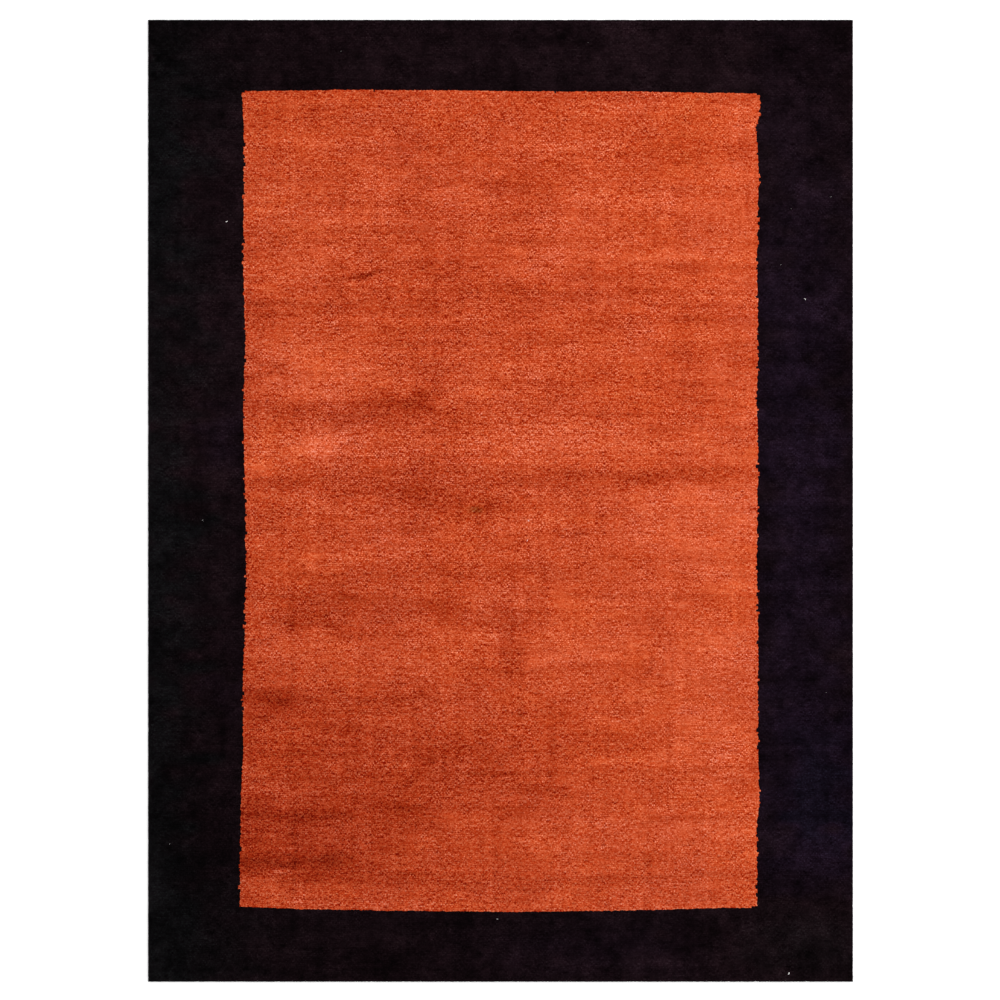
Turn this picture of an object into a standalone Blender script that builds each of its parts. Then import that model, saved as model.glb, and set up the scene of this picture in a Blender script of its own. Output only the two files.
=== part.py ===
"""A hand-knotted wool rug lying flat: a plain rust field inside a wide near-black border.

Metres, +Z up. The origin is at the middle of the underside, X runs across the rug and Y along it,
with the head of the rug at +Y. The rug is one thick sheet, flat underneath. Its knotted foundation
makes the bottom few millimetres, and the cut pile stands on that and rounds over at the outer edge.
"""

import math
from collections import namedtuple

import bmesh
import bpy

# Driving dimensions
RUG_WIDTH = 1.700
RUG_LENGTH = 2.320
FOUNDATION_HEIGHT = 0.0035
PILE_HEIGHT = 0.0085
RUG_HEIGHT = FOUNDATION_HEIGHT + PILE_HEIGHT

# The black border, from the rug's edge in to the rust field
SIDE_BORDER = 0.230
HEAD_BORDER = 0.171
FOOT_BORDER = 0.174

# Rounded edges: the corner seen from above, the pile tips at the edge, and the edge of the back
CORNER_RADIUS = 0.006
CORNER_STEPS = 3
SHOULDER_RADIUS = 0.005
SHOULDER_STEPS = 4
BACK_RADIUS = 0.0015
BACK_STEPS = 2

# The faces of the sheet are about this long and wide
FACE_PITCH = 0.060

# Shearing by hand leaves low swells in the pile. A swell's length is given across and along the rug.
Swell = namedtuple("Swell", "across along phase rise")
SWELLS = (
    Swell(across=1.10, along=1.55, phase=0.4, rise=0.00030),
    Swell(across=-0.62, along=0.54, phase=1.9, rise=0.00018),
    Swell(across=3.40, along=0.36, phase=3.1, rise=0.00016),
)

# Wool colours as linear RGB, and how rough the yarn is
Wool = namedtuple("Wool", "name colour roughness")
BORDER_WOOL = Wool("border_wool", (0.0065, 0.0040, 0.0060), 0.95)
FIELD_WOOL = Wool("field_wool", (0.540, 0.069, 0.022), 0.92)
BORDER_SLOT = 0
FIELD_SLOT = 1

# A seam between two smooth faces is drawn as an edge past this angle
SHARP_ANGLE = math.radians(50)

# Points closer than this count as one place, or as lying at one height
SAME_PLACE = 1e-6


def clear_scene():
    """Takes away whatever the file opened with."""
    for item in list(bpy.data.objects):
        bpy.data.objects.remove(item, do_unlink=True)


def make_wool(wool):
    """A matt material for one yarn colour."""
    material = bpy.data.materials.new(wool.name)
    material.use_nodes = True
    shader = material.node_tree.nodes["Principled BSDF"]
    shader.inputs["Base Color"].default_value = (*wool.colour, 1.0)
    shader.inputs["Roughness"].default_value = wool.roughness
    shader.inputs["Metallic"].default_value = 0.0
    return material


def round_edges(bm, edges, radius, steps):
    """Rounds a set of edges to one radius."""
    bmesh.ops.bevel(
        bm,
        geom=edges,
        offset=radius,
        offset_type="OFFSET",
        segments=steps,
        profile=0.5,
        affect="EDGES",
        clamp_overlap=True,
        material=-1,
    )


def edges_at_height(bm, height):
    """The edges that lie level at one height."""
    return [edge for edge in bm.edges if all(abs(v.co.z - height) < SAME_PLACE for v in edge.verts)]


def upright_edges(bm):
    """The edges that run straight up."""
    return [
        edge
        for edge in bm.edges
        if (edge.verts[0].co.xy - edge.verts[1].co.xy).length < SAME_PLACE
    ]


def stations(start, end):
    """Places strictly between two lines, about one face apart."""
    count = max(1, round((end - start) / FACE_PITCH))
    return [start + (end - start) * step / count for step in range(1, count)]


def cut_lines(low_edge, low_field, high_field, high_edge):
    """Every line that crosses the rug one way. The field's two edges are among them."""
    return (
        stations(low_edge, low_field)
        + [low_field]
        + stations(low_field, high_field)
        + [high_field]
        + stations(high_field, high_edge)
    )


def cut_across(bm, point, normal):
    """Cuts the whole sheet along one upright plane."""
    everything = bm.verts[:] + bm.edges[:] + bm.faces[:]
    bmesh.ops.bisect_plane(bm, geom=everything, dist=SAME_PLACE, plane_co=point, plane_no=normal)


def swell_at(x, y):
    """How far the tips of the pile stand over or under their mean height."""
    return sum(
        swell.rise * math.sin(2 * math.pi * (x / swell.across + y / swell.along) + swell.phase)
        for swell in SWELLS
    )


def share_of_pile(z):
    """Goes from 0 at the foundation to 1 at the tips, easing at both ends."""
    share = min(1.0, max(0.0, (z - FOUNDATION_HEIGHT) / PILE_HEIGHT))
    return share * share * (3 - 2 * share)


def make_rug(collection):
    """The whole rug as one closed sheet with its two yarn colours."""
    half_width = RUG_WIDTH / 2
    half_length = RUG_LENGTH / 2
    field_side = half_width - SIDE_BORDER
    field_head = half_length - HEAD_BORDER
    field_foot = -half_length + FOOT_BORDER

    bm = bmesh.new()
    bmesh.ops.create_cube(bm, size=1.0)
    bmesh.ops.scale(bm, vec=(RUG_WIDTH, RUG_LENGTH, RUG_HEIGHT), verts=bm.verts[:])
    bmesh.ops.translate(bm, vec=(0, 0, RUG_HEIGHT / 2), verts=bm.verts[:])

    round_edges(bm, upright_edges(bm), CORNER_RADIUS, CORNER_STEPS)
    round_edges(bm, edges_at_height(bm, RUG_HEIGHT), SHOULDER_RADIUS, SHOULDER_STEPS)
    round_edges(bm, edges_at_height(bm, 0.0), BACK_RADIUS, BACK_STEPS)

    for x in cut_lines(-half_width, -field_side, field_side, half_width):
        cut_across(bm, (x, 0, 0), (1, 0, 0))
    for y in cut_lines(-half_length, field_foot, field_head, half_length):
        cut_across(bm, (0, y, 0), (0, 1, 0))

    for vert in bm.verts:
        vert.co.z += swell_at(vert.co.x, vert.co.y) * share_of_pile(vert.co.z)

    # The yarn goes right through the rug, so the back shows the same two colours as the pile
    for face in bm.faces:
        middle = face.calc_center_median()
        in_field = abs(middle.x) < field_side and field_foot < middle.y < field_head
        face.material_index = FIELD_SLOT if in_field else BORDER_SLOT

    mesh = bpy.data.meshes.new("rug")
    bm.to_mesh(mesh)
    bm.free()
    mesh.materials.append(make_wool(BORDER_WOOL))
    mesh.materials.append(make_wool(FIELD_WOOL))
    mesh.shade_smooth()
    mesh.set_sharp_from_angle(angle=SHARP_ANGLE)

    rug = bpy.data.objects.new("rug", mesh)
    collection.objects.link(rug)
    return rug


def main():
    clear_scene()
    collection = bpy.data.collections.new("hand_knotted_rug")
    bpy.context.scene.collection.children.link(collection)
    make_rug(collection)


main()
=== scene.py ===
# %% [markdown]
# # A hand-knotted rug, knot by knot
#
# The rug is one wool cloth. Its foundation is a flat sheet of warps and wefts, and on every pair of
# warps a short length of yarn is knotted and cut, so that its two ends stand up as pile. Rust yarn
# makes the field and near-black yarn the border. A plain slab with a noise texture would give the
# colours, but no tufts at its edge and no grain in a low light. So each knot is modelled here.

# %% Load the fixed frame
import math
from collections import namedtuple

import bmesh
import bpy
import numpy as np
from mathutils import Matrix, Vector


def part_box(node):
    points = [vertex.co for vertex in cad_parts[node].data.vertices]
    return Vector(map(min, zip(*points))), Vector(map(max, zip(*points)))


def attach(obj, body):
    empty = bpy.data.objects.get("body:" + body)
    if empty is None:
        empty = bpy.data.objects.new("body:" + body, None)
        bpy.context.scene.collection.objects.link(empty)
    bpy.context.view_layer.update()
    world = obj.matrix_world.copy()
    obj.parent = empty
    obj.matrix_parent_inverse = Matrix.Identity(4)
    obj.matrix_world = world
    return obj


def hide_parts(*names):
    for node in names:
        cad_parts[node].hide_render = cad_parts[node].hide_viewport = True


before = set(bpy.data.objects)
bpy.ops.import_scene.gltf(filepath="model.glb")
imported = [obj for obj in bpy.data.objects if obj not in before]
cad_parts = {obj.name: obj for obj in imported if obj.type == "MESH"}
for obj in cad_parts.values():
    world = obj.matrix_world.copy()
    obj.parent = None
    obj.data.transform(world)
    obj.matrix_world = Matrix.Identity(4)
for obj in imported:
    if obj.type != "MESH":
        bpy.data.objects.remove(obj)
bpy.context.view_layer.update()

low_corner, high_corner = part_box("rug")
WIDTH = high_corner[0] - low_corner[0]
LENGTH = high_corner[1] - low_corner[1]
print(f"The rug is {WIDTH:.3f} by {LENGTH:.3f} m and {high_corner[2]:.4f} m thick")

# %% [markdown]
# ## Counting the knots
#
# A coarse rug of this kind has about seven knots to the inch across and five or six along. Places
# are worked out in knots first: column 12.5 is the middle of the thirteenth knot, and column 12 is
# the groove before it. One function turns those numbers into metres at the end, which keeps all
# the pieces on one lattice.

# %% Knots and border
COLUMNS = 462
ROWS = 500
SIDE_COLUMNS = 62
END_ROWS = 37
COLUMN_PITCH = WIDTH / COLUMNS
ROW_PITCH = LENGTH / ROWS
MILLIMETRE = 0.001

FIELD_LEFT = SIDE_COLUMNS
FIELD_RIGHT = COLUMNS - SIDE_COLUMNS
FIELD_FOOT = END_ROWS
FIELD_HEAD = ROWS - END_ROWS
print(f"A knot takes up {COLUMN_PITCH / MILLIMETRE:.2f} by {ROW_PITCH / MILLIMETRE:.2f} mm")

# %% [markdown]
# ## How the lattice is drawn out of true
#
# On the loom the warps spread and draw in, and the wefts bow. The outer edge is squared when the
# rug is finished, but the line between the field and the border keeps those movements. Each table
# below goes along one side of the field and says how far that side is pushed out, in metres. The
# push fades to nothing at the rug's outer edge and at its middle line.

# %% Tables of the field's four sides
Push = namedtuple("Push", "along out")
LEFT_SIDE = (
    Push(along=-0.98, out=0.0067),
    Push(along=-0.80, out=0.0047),
    Push(along=-0.72, out=0.0034),
    Push(along=-0.61, out=-0.0020),
    Push(along=-0.48, out=-0.0002),
    Push(along=-0.37, out=-0.0033),
    Push(along=-0.18, out=-0.0086),
    Push(along=0.00, out=-0.0067),
    Push(along=0.14, out=-0.0033),
    Push(along=0.24, out=-0.0020),
    Push(along=0.39, out=-0.0071),
    Push(along=0.54, out=-0.0023),
    Push(along=0.78, out=-0.0033),
    Push(along=0.90, out=-0.0037),
    Push(along=0.98, out=0.0018),
)
RIGHT_SIDE = (
    Push(along=-0.98, out=-0.0029),
    Push(along=-0.80, out=-0.0048),
    Push(along=-0.73, out=0.0020),
    Push(along=-0.55, out=-0.0014),
    Push(along=-0.31, out=-0.0008),
    Push(along=-0.13, out=-0.0042),
    Push(along=0.12, out=-0.0009),
    Push(along=0.24, out=-0.0048),
    Push(along=0.36, out=0.0000),
    Push(along=0.60, out=-0.0039),
    Push(along=0.78, out=0.0015),
    Push(along=0.89, out=-0.0043),
    Push(along=0.96, out=0.0040),
    Push(along=0.99, out=0.0030),
)
HEAD_SIDE = (
    Push(along=-0.62, out=-0.0009),
    Push(along=-0.47, out=0.0005),
    Push(along=-0.38, out=0.0023),
    Push(along=-0.11, out=0.0010),
    Push(along=0.07, out=-0.0016),
    Push(along=0.31, out=-0.0015),
    Push(along=0.49, out=-0.0054),
    Push(along=0.62, out=-0.0065),
)
FOOT_SIDE = (
    Push(along=-0.62, out=-0.0106),
    Push(along=-0.47, out=-0.0041),
    Push(along=-0.23, out=0.0000),
    Push(along=0.04, out=0.0024),
    Push(along=0.19, out=0.0006),
    Push(along=0.37, out=-0.0021),
    Push(along=0.55, out=-0.0079),
    Push(along=0.62, out=-0.0068),
)
print("The field's sides are tabled at", len(LEFT_SIDE + RIGHT_SIDE + HEAD_SIDE + FOOT_SIDE), "places")

# %% Draw the lattice out of true
HALF_FIELD_X = WIDTH / 2 - SIDE_COLUMNS * COLUMN_PITCH
HALF_FIELD_Y = LENGTH / 2 - END_ROWS * ROW_PITCH


def pushed_out(side, along):
    """How far one side of the field is pushed out at each place along it."""
    return np.interp(along, [push.along for push in side], [push.out for push in side])


def fading(place, edge_place, outer_place):
    """1 at the field's edge, falling to 0 at the rug's middle line and at its outer edge."""
    inside = np.clip(place / edge_place, 0, 1)
    outside = np.clip((outer_place - place) / (outer_place - edge_place), 0, 1)
    return inside * outside


def drawn_out(x, y):
    """Moves straight lattice places to where the loom's tension left them."""
    right = pushed_out(RIGHT_SIDE, y) * fading(x, HALF_FIELD_X, WIDTH / 2)
    left = pushed_out(LEFT_SIDE, y) * fading(-x, HALF_FIELD_X, WIDTH / 2)
    head = pushed_out(HEAD_SIDE, x) * fading(y, HALF_FIELD_Y, LENGTH / 2)
    foot = pushed_out(FOOT_SIDE, x) * fading(-y, HALF_FIELD_Y, LENGTH / 2)
    return x + right - left, y + head - foot


corner_x, corner_y = drawn_out(HALF_FIELD_X, HALF_FIELD_Y)
print(f"The field's corner at the head on the right lies at {corner_x:.4f}, {corner_y:.4f}")

# %% [markdown]
# ## Which knots are rust
#
# The weaver counts knots to keep the border straight, but now and then a row starts one knot early
# or late. That gives the line its fine teeth. An array with one entry a knot holds the choice. One
# or two rows share a miscount, because the weaver corrects it when it shows.

# %% Miscounted rows
SEED = 4117
SIDE_MISCOUNT = 0.14
END_MISCOUNT = 0.006
LONGEST_RUN = 2
dice = np.random.default_rng(SEED)


def miscounts(length, chance):
    """For each row, how many knots the field reaches past its counted edge."""
    steps = np.zeros(length, dtype=int)
    place = 0
    while place < length:
        run = int(dice.integers(1, LONGEST_RUN + 1))
        if dice.random() < chance:
            steps[place:place + run] = dice.choice((-1, 1))
        place += run
    return steps


left_steps = miscounts(ROWS, SIDE_MISCOUNT)
right_steps = miscounts(ROWS, SIDE_MISCOUNT)
head_steps = miscounts(COLUMNS, END_MISCOUNT)
foot_steps = miscounts(COLUMNS, END_MISCOUNT)

# Three corners of the field are clipped: its first or last row stops short there
CORNER_ROWS = 4
CLIPPED_AT_HEAD = 2
CLIPPED_AT_FOOT = 4
for steps in (left_steps, right_steps):
    steps[FIELD_FOOT:FIELD_FOOT + CORNER_ROWS] = 0
    steps[FIELD_HEAD - CORNER_ROWS:FIELD_HEAD] = 0
head_steps[FIELD_LEFT - LONGEST_RUN:FIELD_LEFT + CLIPPED_AT_HEAD] = -1
head_steps[FIELD_RIGHT - CLIPPED_AT_HEAD:FIELD_RIGHT + LONGEST_RUN] = -1
foot_steps[FIELD_RIGHT - CLIPPED_AT_FOOT:FIELD_RIGHT + LONGEST_RUN] = -1
print("Miscounted rows at the sides:", np.count_nonzero(left_steps) + np.count_nonzero(right_steps))

# %% Rust or near-black
column_of = np.arange(COLUMNS)[:, None]
row_of = np.arange(ROWS)[None, :]
is_rust = (
    (column_of >= FIELD_LEFT - left_steps[None, :])
    & (column_of < FIELD_RIGHT + right_steps[None, :])
    & (row_of >= FIELD_FOOT - foot_steps[:, None])
    & (row_of < FIELD_HEAD + head_steps[:, None])
)
print(f"{is_rust.sum()} rust knots and {(~is_rust).sum()} near-black ones")

# %% [markdown]
# ## The height of the pile
#
# The pile was sheared by hand, so its tips follow the same low swells as the solid they cover. The
# finer unevenness comes from two kinds of noise. `clouds` gives soft values that hold for a clump
# of tufts. `against_next` sets each row against the one before it, because a row that stands up
# lies over the next one. Both are worked out on the lattice, so that they can move the tufts and
# colour them too, which a noise texture can't.

# %% Swells and two kinds of noise
Swell = namedtuple("Swell", "across along phase rise")
SWELLS = (
    Swell(across=1.10, along=1.55, phase=0.4, rise=0.00030),
    Swell(across=-0.62, along=0.54, phase=1.9, rise=0.00018),
    Swell(across=3.40, along=0.36, phase=3.1, rise=0.00016),
)
HALF_COLUMNS = 2 * COLUMNS + 1
HALF_ROWS = 2 * ROWS + 1

# Easing between random values evens them out, and this brings their spread back to about 1
CLOUD_SPREAD = 1.35


def swell_at(x, y):
    """The low swells that hand shearing leaves, in metres."""
    return sum(
        swell.rise * np.sin(2 * math.pi * (x / swell.across + y / swell.along) + swell.phase)
        for swell in SWELLS
    )


def clouds(columns, rows, wide, high):
    """Soft random values with a spread of about 1, that change over cells so wide and so high."""
    coarse = dice.standard_normal((columns // wide + 3, rows // high + 3))
    across = np.arange(columns) / wide
    along = np.arange(rows) / high
    left, foot = across.astype(int), along.astype(int)
    ease_x = across - left
    ease_y = along - foot
    ease_x = (ease_x * ease_x * (3 - 2 * ease_x))[:, None]
    ease_y = (ease_y * ease_y * (3 - 2 * ease_y))[None, :]
    below = coarse[np.ix_(left, foot)] * (1 - ease_x) + coarse[np.ix_(left + 1, foot)] * ease_x
    above = coarse[np.ix_(left, foot + 1)] * (1 - ease_x) + coarse[np.ix_(left + 1, foot + 1)] * ease_x
    return (below * (1 - ease_y) + above * ease_y) * CLOUD_SPREAD


def against_next(noise):
    """Sets each row against the one before it: where one row stands up, the next lies under it."""
    return (noise[:, 1:] - noise[:, :-1]) / math.sqrt(2)


print(f"The swells rise by up to {sum(swell.rise for swell in SWELLS) / MILLIMETRE:.2f} mm")

# %% [markdown]
# Whole rows stand a little high or low, clumps of tufts lean together, and each tuft has its own
# chance. The numbers are drawn once for all half-knot places, so two pieces that share a groove
# agree on it.

# %% How far each place strays
CHANCE_SHIFT = 0.00042
CLUMP_SHIFT = 0.00036
CHANCE_HEIGHT = 0.00026
CLUMP_HEIGHT = 0.00011
ROW_HEIGHT = 0.00010
shift_x = (
    CHANCE_SHIFT * dice.standard_normal((HALF_COLUMNS, HALF_ROWS))
    + CLUMP_SHIFT * clouds(HALF_COLUMNS, HALF_ROWS, wide=6, high=5)
)
shift_y = (
    CHANCE_SHIFT * dice.standard_normal((HALF_COLUMNS, HALF_ROWS))
    + CLUMP_SHIFT * clouds(HALF_COLUMNS, HALF_ROWS, wide=7, high=4)
)
shift_z = (
    CHANCE_HEIGHT * dice.standard_normal((HALF_COLUMNS, HALF_ROWS))
    + CLUMP_HEIGHT * clouds(HALF_COLUMNS, HALF_ROWS, wide=9, high=5)
    + ROW_HEIGHT * dice.standard_normal(HALF_ROWS)[None, :]
)
print(f"Heights stray by up to {np.abs(shift_z).max() / MILLIMETRE:.1f} mm")

# %% [markdown]
# Here and there the pile parts between two rows. The slit is cut deeper, and painted shade darkens it.
# A tuft that stands up is a little higher, and painted light makes it lighter than one that lies
# under its neighbours, which gets painted shade.

# %% Slits and standing tufts
SLIT_ABOVE = 0.75
SLIT_LIMIT = 1.5
SLIT_DEPTH = 0.0008
# How much painted shade darkens an open slit
SLIT_PAINTED_SHADE = 0.48
slits = against_next(clouds(HALF_COLUMNS, ROWS + 2, wide=4, high=1)) - SLIT_ABOVE
slits = np.clip(slits, 0, SLIT_LIMIT)

STAND_HEIGHT = 0.00010
# Painted light on a row that stands up, and painted shade on the row that lies under it
STAND_PAINTED_LIGHT_AND_SHADE = 0.70
STAND_IN_RUNS = 0.10
stand = against_next(
    dice.standard_normal((COLUMNS, ROWS + 1))
    + STAND_IN_RUNS * clouds(COLUMNS, ROWS + 1, wide=7, high=1)
)
print(f"Slits open at {np.mean(slits > 0):.0%} of the places between two rows")

# %% [markdown]
# Where the two colours meet, tufts lean over the line both ways. Within one colour nobody could
# tell, but here it roughens the line, where miscounts alone would leave a clean staircase.

# %% Stray beside the colour line
SIDE_STRAY = 0.00095
END_STRAY = 0.00030
STRAY_REACH = 3
STRAY_ENDS = 1.5


def stray_by_the_line(count, line, other_count, spread):
    """Extra shifts near one half-knot line, alike for all points that lie across it."""
    reaches = np.abs(np.arange(count) - 2 * line) / STRAY_REACH
    painted_shade_by_tip = np.clip(STRAY_ENDS - reaches, 0, 1)
    return painted_shade_by_tip[:, None] * spread * dice.standard_normal(other_count)[None, :]


shift_x += stray_by_the_line(HALF_COLUMNS, FIELD_LEFT, HALF_ROWS, SIDE_STRAY)
shift_x += stray_by_the_line(HALF_COLUMNS, FIELD_RIGHT, HALF_ROWS, SIDE_STRAY)
shift_y += stray_by_the_line(HALF_ROWS, FIELD_FOOT, HALF_COLUMNS, END_STRAY).T
shift_y += stray_by_the_line(HALF_ROWS, FIELD_HEAD, HALF_COLUMNS, END_STRAY).T
print(f"Tips stray by up to {np.abs(shift_x).max() / MILLIMETRE:.1f} mm to the side")

# %% [markdown]
# ## From knot units to metres
#
# At the outer edge the lattice goes over a shoulder and down the side, where the last tufts show
# their whole length. In knot units that side simply carries on past the last column: one knot out
# is halfway down, two knots out is the foot of the tuft on the foundation. The grooves between
# tufts are drawn in there, so the rim reads as a row of locks.

# %% Place every lattice point
PILE_TOP = 0.0120
GROOVE_DEPTH = 0.0013
SHOULDER = 0.0050
SHIFT_FADES_OVER = 2.0
NAP_LEAN = 0.0004

# The side of the pile, from its first step down to the foot of the tufts
SIDE_HEIGHTS = (0.0068, 0.0046, 0.0022)
SIDE_STEPS = len(SIDE_HEIGHTS) - 1
SIDE_INSETS = (0.0000, -0.0007, 0.0004)
SIDE_GROOVE = 0.0005
SIDE_SHIFT_SHARE = 0.5
# Painted shade down the side of the pile, darker at each lower step
SIDE_PAINTED_SHADE = (0.55, 0.35, 0.15)


def lattice_to_metres(u, v):
    """Turns places in knot units into points in metres. Returns x, y, z and painted light and shade.
    """
    half_u = np.clip(np.rint(2 * u), 0, 2 * COLUMNS).astype(int)
    half_v = np.clip(np.rint(2 * v), 0, 2 * ROWS).astype(int)
    own_column = half_u.clip(0, 2 * COLUMNS - 1) // 2
    own_row = half_v.clip(0, 2 * ROWS - 1) // 2
    inner_u = np.clip(u, 0, COLUMNS)
    inner_v = np.clip(v, 0, ROWS)
    is_tip = (half_u % 2 == 1) & (half_v % 2 == 1)
    on_rim_middle = (half_u % 2) != (half_v % 2)
    parted = np.where(half_v % 2 == 0, slits[half_u, half_v // 2], 0)
    upright_by = np.where(is_tip, stand[own_column, own_row], 0)

    # Where it lies on the rug
    x, y = drawn_out(inner_u * COLUMN_PITCH - WIDTH / 2, inner_v * ROW_PITCH - LENGTH / 2)
    knots_in = np.minimum.reduce([inner_u, COLUMNS - inner_u, inner_v, ROWS - inner_v])
    settled = np.clip(knots_in / SHIFT_FADES_OVER, 0, 1)
    x = x + shift_x[half_u, half_v] * settled
    y = y + (shift_y[half_u, half_v] - NAP_LEAN * is_tip) * settled

    # How high it stands, with the shoulder at the outer edge
    from_edge = np.minimum.reduce(
        [
            inner_u * COLUMN_PITCH,
            (COLUMNS - inner_u) * COLUMN_PITCH,
            inner_v * ROW_PITCH,
            (ROWS - inner_v) * ROW_PITCH,
        ]
    )
    rounding = np.clip(1 - from_edge / SHOULDER, 0, 1)
    shoulder_drop = SHOULDER * (1 - np.sqrt(1 - rounding * rounding))
    z = PILE_TOP + swell_at(x, y) - shoulder_drop
    z = z + (shift_z[half_u, half_v] + STAND_HEIGHT * upright_by) * settled
    z = z - np.where(is_tip, 0, GROOVE_DEPTH + SLIT_DEPTH * parted) * settled

    # The side of the pile
    steps_down = np.maximum.reduce([-u, u - COLUMNS, -v, v - ROWS]).clip(0, SIDE_STEPS)
    on_side = knots_in <= 0
    level = np.rint(steps_down).astype(int)
    groove = np.where(on_rim_middle, 0, SIDE_GROOVE)
    side_shift = np.abs(shift_x[half_u, half_v]) * SIDE_SHIFT_SHARE
    inset = np.array(SIDE_INSETS)[level] + groove + side_shift
    out_x = (inner_u >= COLUMNS).astype(float) - (inner_u <= 0)
    out_y = (inner_v >= ROWS).astype(float) - (inner_v <= 0)
    side_z = np.array(SIDE_HEIGHTS)[level] + shift_z[half_u, half_v] * SIDE_SHIFT_SHARE
    x = np.where(on_side, x - out_x * inset, x)
    y = np.where(on_side, y - out_y * inset, y)
    z = np.where(on_side, side_z, z)

    # How near the tip of its tuft it is, used as painted light and shade: darker in the grooves,
    # in open slits and down the side, and lighter or darker as its row stands up or lies under
    off_tip = np.where(on_side, np.array(SIDE_PAINTED_SHADE)[level], -SLIT_PAINTED_SHADE * parted)
    painted_shade_by_tip = np.where(is_tip, 1.0, off_tip)
    return x, y, z, painted_shade_by_tip + STAND_PAINTED_LIGHT_AND_SHADE * upright_by


print("The side of the pile goes down in", SIDE_STEPS, "steps")
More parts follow.
